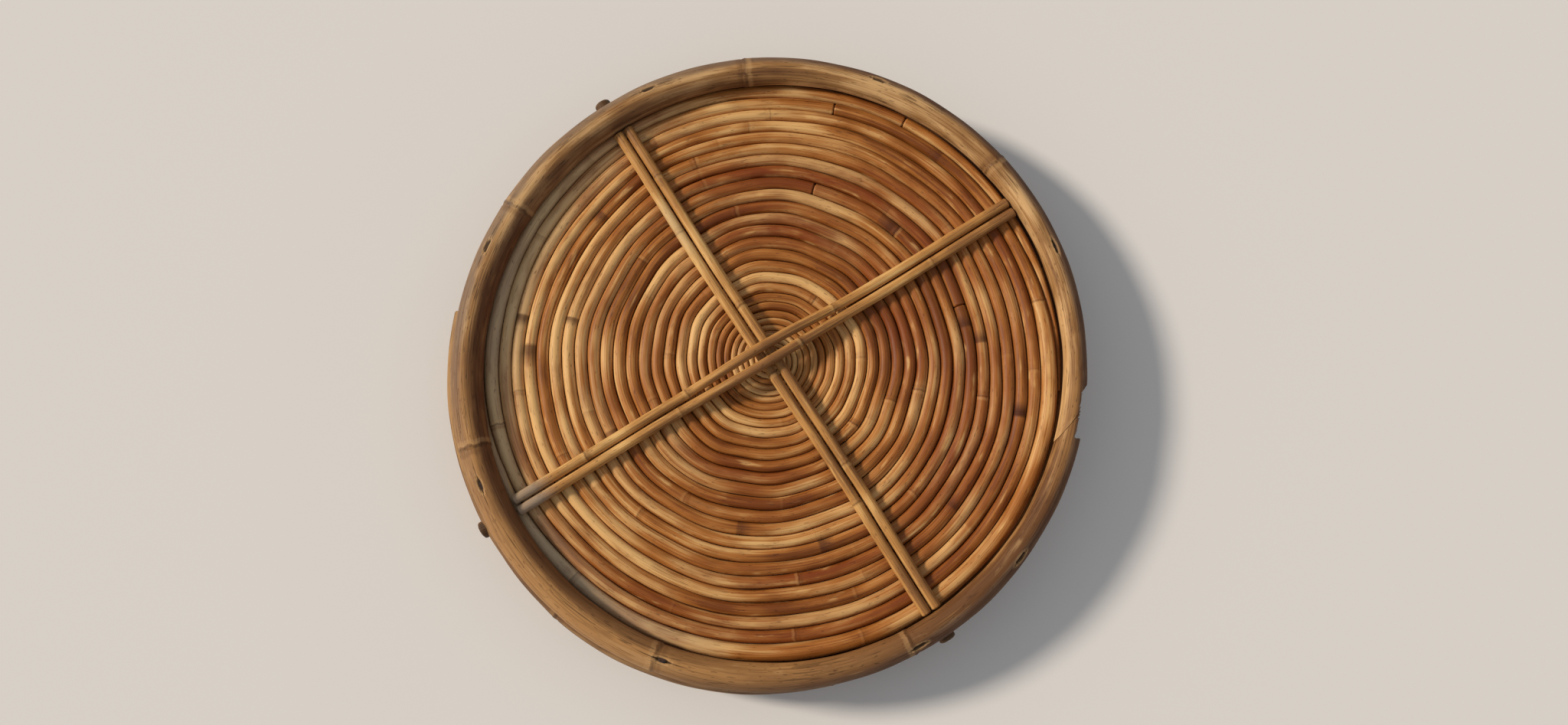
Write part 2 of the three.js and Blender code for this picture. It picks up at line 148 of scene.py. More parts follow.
class Graph:
    """The node tree of one material."""

    def __init__(self, name: str) -> None:
        """Start an empty material of a given name."""
        self.material = bpy.data.materials.new(name)
        self.material.use_nodes = True
        self.tree = self.material.node_tree
        self.tree.nodes.clear()

    def node(self, kind: str, settings: dict[str, object],
             sockets: dict[int | str, object]) -> bpy.types.Node:
        """Add a node, make its settings and then feed its sockets.

        Args:
            kind: Node type.
            settings: Properties of the node, set before the sockets.
            sockets: Plain values or signals by the name or place of the input.

        Returns:
            The new node.
        """
        node = self.tree.nodes.new(kind)
        for name, value in settings.items():
            setattr(node, name, value)
        for key, value in sockets.items():
            if isinstance(value, Signal):
                self.tree.links.new(value.socket, node.inputs[key])
            else:
                node.inputs[key].default_value = value
        return node

    def maths(self, operation: str, first: Signal | float, second: Signal | float = 0.0) -> Signal:
        """Work out one sum on numbers."""
        result = self.node("ShaderNodeMath", {"operation": operation}, {0: first, 1: second})
        return Signal(self, result.outputs[0])

    def attribute(self, name: str) -> Signal:
        """Read a vector that the piece's points carry."""
        return Signal(self, self.node("ShaderNodeAttribute", {"attribute_name": name}, {}).outputs["Vector"])

    def split(self, vector: Signal) -> list[Signal]:
        """Take a vector apart into its three numbers."""
        parts = self.node("ShaderNodeSeparateXYZ", {}, {0: vector})
        return [Signal(self, socket) for socket in parts.outputs]

    def place(self) -> Signal:
        """Read the place on the object, in metres."""
        return Signal(self, self.node("ShaderNodeTexCoord", {}, {}).outputs["Object"])

    def stretched(self, vector: Signal, scale: tuple[float, float, float]) -> Signal:
        """Scale a vector along each axis."""
        scaled = self.node("ShaderNodeVectorMath", {"operation": "MULTIPLY"}, {0: vector, 1: scale})
        return Signal(self, scaled.outputs[0])

    def noise(self, vector: Signal, detail: float = 2.0, roughness: float = 0.5) -> Signal:
        """Read a soft noise of scale 1 at a vector."""
        cloud = self.node("ShaderNodeTexNoise", {}, {"Vector": vector, "Scale": 1.0, "Detail": detail,
                                                     "Roughness": roughness})
        return Signal(self, cloud.outputs[0])

    def mix(self, share: Signal | float, first: object, second: object) -> Signal:
        """Mix two colours by a share of the second."""
        mixed = self.node("ShaderNodeMix", {"data_type": "RGBA"}, {0: share, 6: first, 7: second})
        return Signal(self, mixed.outputs[2])

    def over(self, colour: Signal, share: Signal | float, hex_colour: str) -> Signal:
        """Lay a written colour over another one by a share."""
        return self.mix(share, colour, linear(hex_colour))

    def bumped(self, height: Signal, strength: float, distance: float) -> Signal:
        """Turn a height into a bumped normal."""
        bump = self.node("ShaderNodeBump", {}, {"Strength": strength, "Distance": distance, "Height": height})
        return Signal(self, bump.outputs[0])

    def finish(self, **sockets: object) -> bpy.types.Material:
        """Close the graph with a shader fed by the given sockets.

        Args:
            sockets: Values or signals by socket name, with _ for a space.

        Returns:
            The material.
        """
        named = {name.replace("_", " "): value for name, value in sockets.items()}
        shader = self.node("ShaderNodeBsdfPrincipled", {}, named)
        output = self.tree.nodes.new("ShaderNodeOutputMaterial")
        self.tree.links.new(shader.outputs[0], output.inputs[0])
        return self.material


# Finishes


@dataclass(frozen=True)
class CaneFinish:
    """Skin or core of cane: streaks along the grain, blotches, dark fibres and a ring at each joint."""

    name: str
    pale: str
    middle: str
    deep: str
    red: str
    fibre: str
    # Weathered grey of the skin; the tint's greyness also lays it on as painted cool shade.
    worn_and_shade_grey: str
    streaks_per_metre: float
    streak_share: float
    patch_share: float
    stain_share: float
    fibre_share: float
    roughness: float
    relief: float
    # Colour of the dark marks, and on the top pole the colour of its painted shade.
    smudge_and_shade_colour: str = "4a2412"
    ring_width: float = 0.0009
    ring_share: float = 0.7
    bleach_share: float = 0.55
    worn_share: float = 0.0
    crack_share: float = 0.0
    split_share: float = 0.0

    def build(self) -> bpy.types.Material:
        """Make the material.

        Returns:
            A material that reads the piece's own grain, mark and tint.
        """
        g = Graph(self.name)
        grain = g.attribute("grain")
        near, close, tone = g.split(g.attribute("mark"))
        # Tint channels: redness; greyness, partly painted cool shade; dark marks together with the top pole's
        # painted shade.
        redness, greyness, smudge_and_shade = g.split(g.attribute("tint"))
        side = g.split(grain)[1]
        across = self.streaks_per_metre
        soft = g.noise(g.stretched(grain, (8.0, across, across)), 3.0, 0.55)
        fine = g.noise(g.stretched(grain, (20.0, across * 3.6, across * 3.6)), 3.0, 0.6)
        hair = g.noise(g.stretched(grain, (30.0, 2600.0, 2600.0)), 2.0, 0.6)
        patch = g.noise(g.stretched(grain, (24.0, 75.0, 75.0)), 2.0, 0.5)
        blotch = g.noise(g.stretched(grain, (55.0, 210.0, 210.0)), 2.0, 0.55)
        broad = g.noise(g.stretched(grain, (7.0, 40.0, 40.0)), 1.0, 0.5)
        speck = g.noise(g.stretched(grain, (230.0, 1300.0, 1300.0)), 1.0, 0.5)
        body = soft * 0.6 + fine * 0.4
        lift = (body - 0.5) * self.streak_share + (patch + broad - 1.0) * self.patch_share + tone
        colour = g.mix(lift.between(0.1, 0.55), linear(self.deep), linear(self.middle))
        colour = g.over(colour, lift.between(0.45, 0.95), self.pale)
        colour = g.over(colour, redness * (0.5 + 0.5 * blotch.between(0.3, 0.65)), self.red)
        # Greyness lays on this grey, which on the coil and on the rods' ends is painted cool shade.
        colour = g.over(colour, greyness * 0.85, self.worn_and_shade_grey)
        if self.worn_share:
            ragged = side + (patch - 0.5) * 0.006 + (soft - 0.5) * 0.003
            wear = ragged.between(0.0004, 0.0042) * (0.7 + 0.3 * fine.between(0.35, 0.6)) * self.worn_share
            wear = wear * (1 - redness)
            colour = g.over(colour, wear * 0.9, self.worn_and_shade_grey)
        lines = fine.between(0.43, 0.31) * self.fibre_share
        flecks = speck.between(0.66, 0.74) * 0.5
        colour = g.over(colour, blotch.between(0.52, 0.76) * self.stain_share, self.deep)
        bleached = blotch.between(0.42, 0.26) * soft.between(0.4, 0.6) * self.bleach_share
        colour = g.over(colour, bleached, self.pale)
        # Dark marks, and on the top pole its painted shade, laid over in one dark colour.
        colour = g.over(colour, smudge_and_shade * (0.8 + 0.2 * blotch.between(0.35, 0.6)), self.smudge_and_shade_colour)
        colour = g.over(colour, lines, self.fibre)
        colour = g.over(colour, flecks, self.fibre)
        width = self.ring_width
        reach = near + (soft - 0.5) * width * 3.0 + (blotch - 0.5) * width * 2.0
        ring = abs(reach).between(width * 1.3, width * 0.3) * close
        collar = abs(reach - width * 2.6).between(width * 3.2, width * 0.8) * close
        lip = abs(reach + width * 2.4).between(width * 2.0, width * 0.6) * close
        colour = g.over(colour, lip * 0.25, self.pale)
        colour = g.over(colour, collar * 0.4, self.deep)
        colour = g.over(colour, ring * self.ring_share, self.fibre)
        dark = ring * 0.5 + lines * 0.6 + flecks
        if self.crack_share:
            vein = g.noise(g.stretched(grain, (10.0, across * 1.4, across * 1.4)), 1.0, 0.5)
            crack = abs(vein - 0.47).between(0.022, 0.006) * blotch.between(0.44, 0.54) * self.crack_share
            colour = g.over(colour, crack, self.fibre)
            dark = dark + crack
        if self.split_share:
            along, aside, by_nail = g.split(g.attribute("split"))
            off = abs(aside + (fine - 0.5) * 0.0009)
            rim = off - (0.0012 - along * along * 40.0)
            hole = rim.between(0.00025, -0.00035) * by_nail
            edge = rim.between(0.0019, 0.0002) * by_nail
            tail = off.between(0.0004, 0.0001) * abs(along).between(0.019, 0.009) * by_nail
            colour = g.over(colour, edge * 0.4, self.pale)
            colour = g.over(colour, tail * 0.7, self.fibre)
            # The near-black hollow of the split is painted shade.
            colour = g.over(colour, hole * self.split_share, "24150c")
            dark = dark + hole + tail
        height = body * 0.9 + hair * 0.35 - dark
        rough = (body - 0.5) * 0.25 + self.roughness + lines * 0.12 + smudge_and_shade * 0.25
        return g.finish(Base_Color=colour, Roughness=rough, Normal=g.bumped(height, self.relief, 0.0006),
                        Specular_IOR_Level=0.22)


@dataclass(frozen=True)
class NailFinish:
    """Dark oxidised steel of the nail heads."""

    name: str
    metal: str
    rust: str

    def build(self) -> bpy.types.Material:
        """Make the material.

        Returns:
            A material in which rust blooms over dull metal.
        """
        g = Graph(self.name)
        bloom = g.noise(g.stretched(g.place(), (900.0, 900.0, 900.0)), 3.0, 0.6)
        pits = g.noise(g.stretched(g.place(), (3200.0, 3200.0, 3200.0)), 2.0, 0.6)
        rusty = bloom.between(0.4, 0.62)
        colour = g.mix(rusty, linear(self.metal), linear(self.rust))
        return g.finish(Base_Color=colour, Metallic=0.75 - 0.6 * rusty, Roughness=0.42 + 0.4 * rusty,
                        Normal=g.bumped(pits + bloom, 0.5, 0.0002))


@dataclass(frozen=True)
class PlainFinish:
    """Even matt surface of the studio floor."""

    name: str
    colour: str

    def build(self) -> bpy.types.Material:
        """Make the material."""
        return Graph(self.name).finish(Base_Color=linear(self.colour), Roughness=0.85, Specular_IOR_Level=0.2)


class Finish(Enum):
    """Finishes of the tray, by the part that wears them."""

    # On the top pole the dark smudge colour 57311b is the colour of its painted shade.
    TOP_POLE = CaneFinish("top_pole_cane", "d2a670", "9d7040", "6b4526", "bb8850", "38210f", "7f6852",
                          330.0, 1.75, 1.3, 0.3, 0.3, 0.54, 0.5, "57311b", 0.0011, 0.4, 0.45, 1.0, 0.5, 0.8)
    LOWER_POLE = CaneFinish("lower_pole_cane", "b78a54", "875a30", "55361b", "6f391b", "321c0d", "6c5742",
                            360.0, 2.0, 1.1, 0.4, 0.5, 0.56, 0.45, "4a2412", 0.0011, 0.5, 0.5, 0.4, 0.5)
    # The coil's grey b8a88b serves only as the colour of its painted cool shade.
    COIL = CaneFinish("coil_core", "e0b070", "ae6d30", "764017", "7e3812", "40200f", "b8a88b",
                      420.0, 1.7, 1.35, 0.38, 0.26, 0.48, 0.3, "4a2412", 0.0006, 0.6, 0.65)
    ROD = CaneFinish("rod_core", "e3b572", "bb8446", "865a32", "84481f", "4d2f17", "93897a",
                     420.0, 1.6, 1.3, 0.3, 0.3, 0.5, 0.35, "4a2412", 0.0007, 0.6)
    BEARER = CaneFinish("bearer_cane", "86643e", "5f4226", "3f2a17", "4e2a14", "24160b", "5f5040",
                        600.0, 1.6, 0.6, 0.4, 0.5, 0.58, 0.35)
    NAIL = NailFinish("nail_head_steel", "2e2723", "45291a")

    @property
    def material(self) -> bpy.types.Material:
        """The material of this finish, made on first use."""
        return bpy.data.materials.get(self.value.name) or self.value.build()


# Bent canes


@dataclass
class Wobble:
    """Slow seeded unevenness along and around a cane."""

    seed: int
    depth: float
    length: float = 0.05
    phases: list[float] = field(init=False)

    def __post_init__(self) -> None:
        """Draw the phases of the waves."""
        dice = random.Random(self.seed)
        self.phases = [dice.uniform(0, FULL_TURN) for _ in range(5)]

    def at(self, along: float, turned: float) -> float:
        """Height of the unevenness at a distance along the cane and an angle around it."""
        a, b, c, d, e = self.phases
        run = FULL_TURN * along / self.length
        return self.depth * (0.34 * math.sin(run + a) + 0.2 * math.sin(2.3 * run + b)
                             + 0.22 * math.sin(0.61 * run + 2 * turned + c)
                             + 0.14 * math.sin(0.37 * run + 3 * turned + d)
                             + 0.10 * math.sin(0.23 * run + 7 * turned + e))


@dataclass(frozen=True)
class Joint:
    """A natural joint of a cane: its place on the route and how strongly it shows."""

    place: float
    strength: float = 1.0


@dataclass
class Cane:
    """One cane: a straight tube of mesh bent along its route, with the marks of its growth."""

    name: str
    route: Callable[[float], Vector]
    start: float
    end: float
    radius: Callable[[float], float]
    metres: Callable[[float], float]
    sides: int = 24
    pitch: float = 0.003
    joints: Sequence[Joint] = ()
    swell: float = 0.00025
    wobble: Wobble | None = None
    levels: Callable[[float], tuple[float, float]] = lambda place: (-1.0, 1.0)
    limit: Callable[[float, float], float] | None = None
    slant: float = 0.0
    tip: float = 0.0006
    fine_at: Sequence[float] = ()
    tone: Callable[[float], float] = lambda place: 0.5
    tint: Callable[[float], tuple[float, float, float]] = lambda place: (0.0, 0.0, 0.0)
    split: Callable[[float, float], tuple[float, float, float]] | None = None
    # Painted shade by place and angle around the cane, if the piece has any.
    shaded: Callable[[float, float], float] | None = None

    def stations(self) -> list[float]:
        """Places of the rings of the tube: close together at joints, ends and nails.

        Returns:
            Places on the route, from its start to its end.
        """
        fine, near = 0.0005, 0.0032
        marks = [*(joint.place for joint in self.joints), *self.fine_at, self.start, self.end]
        places = [self.start]
        while True:
            here = places[-1]
            scale = self.metres(here)
            gap = min(abs(here - mark) for mark in marks) * scale
            ahead = min(((mark - here) * scale - near for mark in marks if (mark - here) * scale > near),
                        default=self.pitch)
            step = fine if gap < near else max(fine, min(self.pitch, ahead))
            if (self.end - here) * scale <= 1.4 * step:
                return [*places, self.end]
            places.append(here + step / scale)

    def bearing(self, place: float) -> tuple[Vector, Vector, Vector]:
        """Find the route's point and the directions to its outer side and upwards there."""
        nudge = 2e-5 / self.metres(place)
        along = (self.route(place + nudge) - self.route(place - nudge)).normalized()
        out = along.cross(UP).normalized()
        return self.route(place), out, out.cross(along)

    def section(self, place: float, along: float, off: float, strength: float,
                turned: float) -> tuple[float, float]:
        """Work out the cane's outline at one place.

        Args:
            place: Place on the route.
            along: The same place in metres from the start.
            off: Signed distance to the nearest joint.
            strength: How strongly that joint shows.
            turned: Angle around the cane.

        Returns:
            Steps to the outer side and upwards.
        """
        ridge = off + 0.0005 * math.sin(turned + along * 40)
        full = self.radius(place)
        full += strength * self.swell * (math.exp(-(ridge / 0.0011) ** 2)
                                         + 0.45 * math.exp(-((ridge + 0.003) / 0.0026) ** 2)
                                         - 0.5 * math.exp(-((ridge - 0.0022) / 0.0007) ** 2))
        if self.wobble:
            full += self.wobble.at(along, turned)
        if self.split:
            full -= Split.depth_at(*self.split(place, turned))
        low, high = self.levels(place)
        side = full * math.cos(turned)
        rise = min(max(full * math.sin(turned), low), high)
        if self.limit:
            side = self.limit(place, side)
        return side, rise

    def build(self, finish: Finish) -> bpy.types.Object:
        """Make the cane as an object.

        Args:
            finish: Finish that it wears.

        Returns:
            The new object, at the origin.
        """
        places = self.stations()
        lengths = [0.0]
        for before, after in zip(places, places[1:]):
            lengths.append(lengths[-1] + (self.route(after) - self.route(before)).length)
        bm = bmesh.new()
        layers = {name: bm.verts.layers.float_vector.new(name) for name in ("grain", "mark", "tint", "split")}
        rings = len(places) - 1
        bmesh.ops.create_grid(bm, x_segments=rings, y_segments=self.sides, size=0.5)
        columns: dict[int, list[tuple[int, bmesh.types.BMVert]]] = {}
        for vert in bm.verts:
            key = round((vert.co.x + 0.5) * rings)
            columns.setdefault(key, []).append((round((vert.co.y + 0.5) * self.sides), vert))
        for k, place in enumerate(places):
            joint = min(self.joints, key=lambda mark: abs(mark.place - place), default=Joint(place + 1.0))
            off = max(-0.03, min(0.03, (place - joint.place) * self.metres(place)))
            close = joint.strength if abs(off) < 0.014 else 0.0
            base = self.bearing(place)
            from_end = min(lengths[k], lengths[-1] - lengths[k])
            rounding = 1.0
            if self.tip and from_end < self.tip:
                rounding = 0.72 + 0.28 * math.sqrt(max(0.0, 1 - (1 - from_end / self.tip) ** 2))
            tone = self.tone(place)
            tint = self.tint(place)
            slide = 0.0
            if self.slant:
                slide = self.slant * max(0.0, 1 - from_end / (2.2 * self.slant * self.metres(place)))
            for j, vert in columns[k]:
                turned = FULL_TURN * j / self.sides
                side, rise = self.section(place, lengths[k], off, joint.strength, turned)
                point, out, top = base
                if slide:
                    point, out, top = self.bearing(place + slide * side / self.radius(place))
                vert.co = point + out * side * rounding + top * rise * rounding
                thick = math.hypot(side, rise)
                vert[layers["grain"]] = (lengths[k], thick * math.cos(turned), thick * math.sin(turned))
                vert[layers["mark"]] = (off, close, tone)
                vert[layers["tint"]] = tint
                # A piece with painted shade puts it in the third tint channel, in place of smudges.
                if self.shaded:
                    vert[layers["tint"]] = (*tint[:2], self.shaded(place, turned))
                if self.split:
                    vert[layers["split"]] = self.split(place, turned)
        bmesh.ops.remove_doubles(bm, verts=bm.verts[:], dist=1e-6)
        rims = [edge for edge in bm.edges if edge.is_boundary]
        for edge in rims:
            edge.smooth = False
        bmesh.ops.holes_fill(bm, edges=rims, sides=self.sides + 2)
        bmesh.ops.recalc_face_normals(bm, faces=bm.faces[:])
        for face in bm.faces:
            face.smooth = True
        return placed(self.name, bm, finish.material)


def tones(seed: int, joints: Sequence[Joint], spread: float, middle: float = 0.5,
          step: float = 0.25) -> Callable[[float], float]:
    """Let a value drift along a cane, with a small step at each joint.

    Args:
        seed: Seed of the values.
        joints: Joints of the cane, in order.
        spread: How far the values may lie from the middle.
        middle: Value in the middle.
        step: Share of the spread that changes at the joints alone.

    Returns:
        A function from a place to its value.
    """
    dice = random.Random(seed)
    knots = sorted(joint.place for joint in joints)
    drift = [dice.uniform(-spread, spread) for _ in range(len(knots) + 2)]
    steps = [dice.uniform(-spread, spread) * step for _ in range(len(knots) + 1)]

    def value(place: float) -> float:
        """Value at a place."""
        passed = sum(1 for knot in knots if knot <= place)
        share = 0.5
        if 0 < passed < len(knots):
            share = (place - knots[passed - 1]) / (knots[passed] - knots[passed - 1])
        elif knots:
            share = 1.0 if passed == 0 else 0.0
        share = share * share * (3 - 2 * share)
        return middle + drift[passed] + (drift[passed + 1] - drift[passed]) * share + steps[passed]

    return value


# Plan of the tray


@dataclass
class Plan:
    """Outline that every sub-assembly keeps to, in metres and degrees."""

    reach: float = 0.180
    oval_share: float = 0.0083
    oval_angle: float = 65.7
    top_diameter: float = 0.0162
    top_swing: float = 0.0021
    top_thick_angle: float = 174.0
    lower_radius: float = 0.0085
    bow: float = 0.0048
    bow_angle: float = 228.0
    seat: float = 0.0005
    touch: float = 0.0003
    top_sides: int = 16
    lower_sides: int = 12
    ring_steps: int = 48
    straight_nail: str = "rim_nail_6"
    straight_nail_angle: float = 250.8
    middle: tuple[float, float] = (0.0, 0.0)

    def __post_init__(self) -> None:
        """Find the middle of the rim from a nail that stands on the top pole's middle line."""
        low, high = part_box(self.straight_nail)
        angle = math.radians(self.straight_nail_angle)
        reach = self.top_reach(angle)
        self.middle = ((low[0] + high[0]) / 2 - reach * math.cos(angle),
                       (low[1] + high[1]) / 2 - reach * math.sin(angle))

    @property
    def bottom_axis(self) -> float:
        """Height of the bottom pole's middle line."""
        return self.lower_radius - self.seat

    @property
    def middle_axis(self) -> float:
        """Height of the middle pole's middle line."""
        return self.bottom_axis + 2 * self.lower_radius + self.touch

    @property
    def coil_plane(self) -> float:
        """Height of the joint between the top and the middle pole."""
        return self.middle_axis + self.lower_radius + self.touch / 2

    @property
    def top_underside(self) -> float:
        """Height of the top pole's underside."""
        return self.coil_plane + self.touch / 2

    def oval(self, angle: float) -> float:
        """Reach of the rim's outside at an angle, a little longer one way than across it."""
        return self.reach * (1 + self.oval_share * math.cos(2 * (angle - math.radians(self.oval_angle))))

    def bowed(self, angle: float) -> float:
        """How far the lower poles stand out past the top one."""
        return self.bow * max(0.0, towards(angle, self.bow_angle)) ** 2

    def top_radius(self, angle: float) -> float:
        """Half thickness of the top pole."""
        return (self.top_diameter + self.top_swing * towards(angle, self.top_thick_angle)) / 2

    def top_reach(self, angle: float) -> float:
        """Reach of the top pole's middle line."""
        return self.oval(angle) - self.top_radius(angle)

    def lower_reach(self, angle: float) -> float:
        """Reach of the lower poles' middle lines."""
        return self.oval(angle) + self.bowed(angle) - self.lower_radius

    def place(self, reach: float, angle: float, height: float) -> Vector:
        """Place at a distance from the middle of the rim."""
        x, y = self.middle
        return Vector((x + reach * math.cos(angle), y + reach * math.sin(angle), height))

    def round_groove(self, angle: float, thickness: float) -> float:
        """Reach of the outer side of a cane that touches both round poles."""
        room = thickness / 2 + self.touch
        radius = self.top_radius(angle)
        from_top = math.sqrt((radius + room) ** 2 - radius ** 2)
        from_lower = math.sqrt((self.lower_radius + room) ** 2 - self.lower_radius ** 2)
        return min(self.top_reach(angle) - from_top, self.lower_reach(angle) - from_lower) + thickness / 2

    def groove(self, angle: float, thickness: float) -> float:
        """Reach of a cane that sits between the top and the middle pole as the solids have them."""
        dip = self.reach * (1 - math.cos(math.pi / self.ring_steps))
        room = thickness / 2 + self.touch + dip
        radius = self.top_radius(angle)
        from_top = radius / math.cos(math.pi / self.top_sides) + room
        from_lower = self.lower_radius / math.cos(math.pi / self.lower_sides) + room
        return min(self.top_reach(angle) - math.sqrt(from_top ** 2 - radius ** 2),
                   self.lower_reach(angle) - math.sqrt(from_lower ** 2 - self.lower_radius ** 2))


# Nails


@dataclass
class RimNails:
    """Nails driven down through the top pole, their heads sunk a little into it."""

    plan: Plan
    angles: tuple[float, ...] = (21.9, 69.0, 114.1, 158.1, 204.1, 250.8, 297.2, 321.2)
    side_shares: tuple[float, ...] = (0.27, 0.38, 0.29, 0.35, 0.18, 0.0, 0.55, 0.55)
    radius: float = 0.0011
    head_radius: float = 0.0022
    head_height: float = 0.0009
    sink: float = 0.0006
    grip: float = 0.007
    sides: int = 24

    def nail(self, index: int) -> bpy.types.Object:
        """Make one nail by spinning its outline.

        Args:
            index: Its place among the nails.

        Returns:
            The new object.
        """
        angle = math.radians(self.angles[index])
        radius = self.plan.top_radius(angle)
        aside = radius * self.side_shares[index]
        foot = self.plan.place(self.plan.top_reach(angle) + aside, angle, 0.0)
        axis = self.plan.top_underside + radius
        crown = axis + math.sqrt(radius ** 2 - (aside + self.head_radius) ** 2) - self.sink
        tip = self.plan.top_underside - self.grip
        outline = ((0.0, tip), (self.radius, tip + 0.003), (self.radius, crown - self.head_height),
                   (self.head_radius, crown - self.head_height), (self.head_radius, crown - 0.00025),
                   (self.head_radius - 0.0003, crown), (0.0, crown))
        bm = bmesh.new()
        verts = [bm.verts.new((foot.x + reach, foot.y, height)) for reach, height in outline]
        edges = [bm.edges.new(pair) for pair in zip(verts, verts[1:])]
        bmesh.ops.spin(bm, geom=[*verts, *edges], cent=(foot.x, foot.y, 0), axis=UP, angle=FULL_TURN,
                       steps=self.sides, use_merge=True)
        bmesh.ops.remove_doubles(bm, verts=bm.verts[:], dist=1e-6)
        bmesh.ops.recalc_face_normals(bm, faces=bm.faces[:])
        return placed(f"nail_{index + 1}", bm, Finish.NAIL.material)

    def build(self) -> list[bpy.types.Object]:
        """Make the nails and say which solids they stand for."""
        return [fitted(self.nail(i), f"rim_nail_{i + 1}") for i in range(len(self.angles))]


@dataclass(frozen=True)
class Split:
    """Eye-shaped split that a nail has opened in the skin of the top pole."""

    place: float
    turned: float

    @staticmethod
    def depth_at(along: float, aside: float, by_nail: float) -> float:
        """Depth of the hole, and the lift of its lips, at a point beside a nail."""
        half = 0.0013 - along * along * 40.0
        if not by_nail or half <= 0:
            return 0.0
        share = abs(aside) / half
        if share < 1:
            return 0.0015 * (1 - share ** 3)
        return -0.00022 * max(0.0, 1 - (share - 1) / 0.8)


# Rim


@dataclass
class Rim:
    """Three poles bent to rings and stacked, the top one with its ends pared where they meet."""

    plan: Plan
    nails: RimNails
    sides: int = 64
    lower_sides: int = 40
    scarf: float = 0.014
    pared_half_angle: float = 5.0
    pared_depth: float = 0.0043
    top_scarf: float = 348.4
    bottom_scarf: float = 135.0
    lap_start: float = 170.0
    lap_end: float = 194.0
    lap_release: float = 22.0
    lap_face: float = 0.0015
    lap_step: float = 0.0062
    top_joints: tuple[float, ...] = (41.7, 94.9, 148.9, 196.8, 249.4, 296.2)
    middle_joints: tuple[float, ...] = (20, 71, 123, 230, 281, 333)
    bottom_joints: tuple[float, ...] = (5, 55, 108, 162, 213, 262, 318)
    wobble_depth: float = 0.0003

    def unrolled(self, start: float, angles: Sequence[float]) -> list[float]:
        """Angles counted on from the pole's first end."""
        return [math.radians(start + ((angle - start + 720) % 360)) for angle in angles]

    def joints(self, start: float, angles: Sequence[float]) -> list[Joint]:
        """Joints of a pole, in order from its first end."""
        return [Joint(place) for place in sorted(self.unrolled(start, angles))]

    def splits(self) -> list[Split]:
        """Splits of the top pole, one over each nail."""
        places = self.unrolled(self.top_scarf, self.nails.angles)
        return [Split(place, math.acos(share)) for place, share in zip(places, self.nails.side_shares)]

    def top_pole(self) -> bpy.types.Object:
        """Pale pole on top, seen all the way round, with a slanted meeting of its ends."""
        plan = self.plan
        gap = plan.touch / plan.reach
        start = math.radians(self.top_scarf) + gap
        end = start + FULL_TURN - 2 * gap
        pared = math.radians(self.pared_half_angle)
        joints = self.joints(self.top_scarf, self.top_joints)
        splits = self.splits()
        beside = [split.place + step / plan.reach for split in splits for step in (-0.0055, 0.0, 0.0055)]

        def limit(place: float, side: float) -> float:
            """Cut the outer side flat where the ends meet."""
            inside = pared - min(place - start, end - place)
            if inside < 0:
                return side
            ragged = 0.0003 * math.sin(place * 700) + 0.00025 * math.sin(place * 1811)
            depth = self.pared_depth * min(1.0, inside / (0.16 * pared))
            return min(side, plan.top_radius(place) - depth + ragged)

        def split(place: float, turned: float) -> tuple[float, float, float]:
            """Place of a point along and around the pole from the nearest nail, and whether it is near."""
            nearest = min(splits, key=lambda one: abs(one.place - place))
            along = (place - nearest.place) * plan.reach
            aside = (turned - nearest.turned) * plan.top_radius(place)
            if abs(along) > 0.024 or abs(aside) > 0.008:
                return 0.1, 0.1, 0.0
            return along, aside, 1.0

        def shaded(place: float, turned: float) -> float:
            """Painted shade in brown: on the inner side towards the left, where the rim's own shadow falls,
            and on the outer side towards the right, which faces away from the light.
            """
            left, side = -math.cos(place), math.cos(turned)
            inner = 0.9 * max(0.0, left) ** 0.6 * held(-3 * side - 0.6)
            outer = 0.8 * min(1.0, max(0.0, 0.5 - left)) * held(2.5 * side - 0.4)
            return inner + outer

        def tone(place: float) -> float:
            """Browner at the front and a little at the right."""
            front, right = towards(place, 285), towards(place, 30)
            return plain(place) - 0.32 * max(0.0, front) ** 8 - 0.1 * max(0.0, right)

        plain = tones(11, joints, 0.12)

        def route(a: float) -> Vector:
            """Middle line, whose height follows the thickness."""
            return plan.place(plan.top_reach(a), a, plan.top_underside + plan.top_radius(a))

        def tint(a: float) -> tuple[float, float, float]:
            """Honey coloured at the lower left."""
            return 1.3 * max(0.0, towards(a, 235) - 0.35), 0.0, 0.0

        pole = Cane("top_pole", route, start, end, lambda a: plan.top_radius(a) - self.wobble_depth,
                    lambda a: plan.reach, self.sides,
                    0.0026, joints, 0.0003, Wobble(3, self.wobble_depth, 0.075),
                    levels=lambda a: (-plan.top_radius(a), 1.0), limit=limit,
                    slant=self.scarf / plan.reach, tip=0.0,
                    fine_at=[start + pared, end - pared, *beside], tone=tone, tint=tint, split=split,
                    shaded=shaded)
        return pole.build(Finish.TOP_POLE)

    def middle_pole(self) -> bpy.types.Object:
        """Brown pole in the middle, whose ends lie side by side in a lap."""
        plan = self.plan
        start = math.radians(self.lap_start)
        end = math.radians(self.lap_end) + FULL_TURN
        lapped = math.radians(self.lap_end - self.lap_start)
        release = math.radians(self.lap_release)
        joints = self.joints(self.lap_start, self.middle_joints)

        def step(angle: float) -> float:
            """How far the pole lies outside its round where the first end passes the last one."""
            return self.lap_step * held(1 - (angle - start) / (lapped + release))

        def limit(place: float, side: float) -> float:
            """Cut both ends flat where they lie against each other."""
            if place <= start + lapped + 1e-3:
                side = max(side, self.lap_face + plan.touch - step(place))
            if place >= start + FULL_TURN - 1e-3:
                side = min(side, self.lap_face)
            return side

        def tone(place: float) -> float:
            """Paler where the first end lies outside, partly its own colour and partly painted light on the
            lap that stands out into the light.
            """
            # Partly painted light: the lap stands out into the light.
            return plain(place) + 0.45 * held((start + lapped + release - place) / release)

